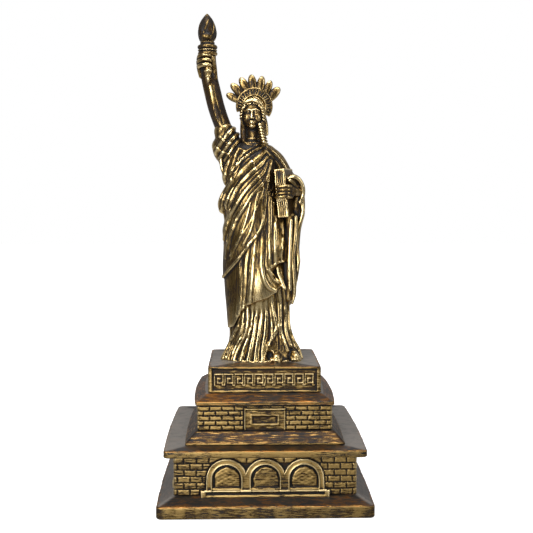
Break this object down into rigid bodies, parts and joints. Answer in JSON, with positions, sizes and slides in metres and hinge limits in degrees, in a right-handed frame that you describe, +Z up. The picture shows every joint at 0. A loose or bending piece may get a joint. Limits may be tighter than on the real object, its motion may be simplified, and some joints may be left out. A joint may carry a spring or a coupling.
{
  "type": "miniature landmark statuette",
  "caption": "Antique-gold souvenir statuette: robed figure with raised torch, rayed crown and tablet, standing on a stepped square brick pedestal.",
  "frame": {"origin": "centre of the felt's underside, at the middle of the square base", "axes": "+Z up through the figure, -Y is the front that the figure faces, +X to the viewer's right"},
  "size_m": [0.131, 0.129, 0.306],
  "materials": {
    "figure_gold": "antiqued gold, glossy ridges and dark brown-black hollows",
    "brick_gold": "antiqued gold with black wash brushed on in level streaks",
    "moulding_gold": "satin antiqued gold, rubbed grey-brown on the level faces",
    "steel": "zinc plated",
    "board": "pressed fibreboard",
    "felt": "black felt"
  },
  "bodies": {
    "root": {"felt_pad": "felt", "base_plate": "board", "plate_screws": "steel", "foot_slab": "moulding_gold", "lower_tier": "brick_gold", "cornice_slab": "moulding_gold", "upper_tier": "brick_gold", "shoulder_moulding": "moulding_gold", "plinth_block": "brick_gold", "ornament_plaque": "brick_gold", "tie_rod": "steel", "tie_nut": "steel", "tie_washer": "steel", "anchor_disc": "steel", "robed_body": "figure_gold", "raised_arm": "figure_gold", "torch": "figure_gold", "torch_finial": "figure_gold", "flame": "figure_gold", "head": "figure_gold", "diadem": "figure_gold", "ray_crown": "figure_gold", "tablet": "figure_gold", "tablet_hand": "figure_gold"}
  },
  "joints": []
}
